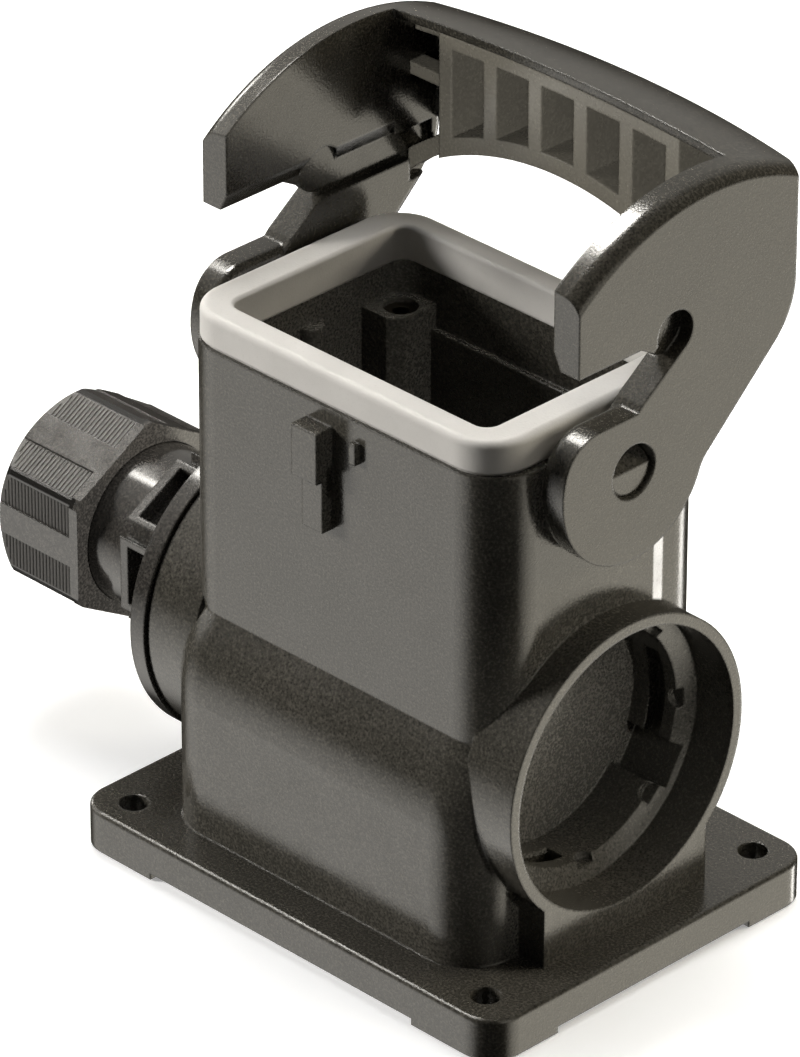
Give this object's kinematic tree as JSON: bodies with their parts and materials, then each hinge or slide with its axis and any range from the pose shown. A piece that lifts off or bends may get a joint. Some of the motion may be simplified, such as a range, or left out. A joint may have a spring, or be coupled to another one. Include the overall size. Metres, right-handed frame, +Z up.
{
  "type": "heavy duty connector base housing",
  "caption": "Grey moulded base housing of a rectangular industrial connector, with a mounting flange, a U-shaped locking lever, a rim seal, a bayonet cable entry and a screwed cable gland.",
  "frame": {"origin": "middle of the mounting plane, under the base plate", "axes": "+Z up along the mating direction, +X towards the closed cable entry, -Y towards the side with the coding rib"},
  "size_m": [0.1185, 0.0665, 0.1175],
  "materials": {
    "moulding": "fine grained satin",
    "gland_moulding": "fine grained satin",
    "seal": "satin",
    "rubber": "matt",
    "insert_metal": "dull nickel plated"
  },
  "bodies": {
    "base": {"housing_body": "moulding", "bottom_cover": "moulding", "profile_seal": "seal", "thread_insert_1": "insert_metal", "thread_insert_2": "insert_metal", "thread_insert_3": "insert_metal", "thread_insert_4": "insert_metal"},
    "lever": {"locking_lever": "moulding", "lever_grip": "moulding"},
    "gland": {"gland_body": "gland_moulding", "gland_o_ring": "rubber", "gland_cable_seal": "rubber"},
    "cage": {"gland_clamping_cage": "gland_moulding"},
    "nut": {"gland_cap_nut": "gland_moulding"}
  },
  "joints": [
    {"name": "lever_swing", "type": "hinge", "parent": "base", "child": "lever", "pos_m": [0, 0, 0.078], "axis": [1, 0, 0], "range_deg": [-75, 0]},
    {"name": "gland_twist", "type": "hinge", "parent": "base", "child": "gland", "pos_m": [-0.036, 0, 0.0316], "axis": [-1, 0, 0], "range_deg": [0, 45]},
    {"name": "cage_slide", "type": "slide", "parent": "gland", "child": "cage", "axis": [-1, 0, 0], "range_m": [0, 0.009]},
    {"name": "nut_turn", "type": "hinge", "parent": "cage", "child": "nut", "pos_m": [-0.068, 0, 0.0316], "axis": [-1, 0, 0], "range_deg": [0, 2160]}
  ],
  "couplings": [
    {"joint": "cage_slide", "follows": "nut_turn", "m_per_rad": 0.0002387}
  ]
}
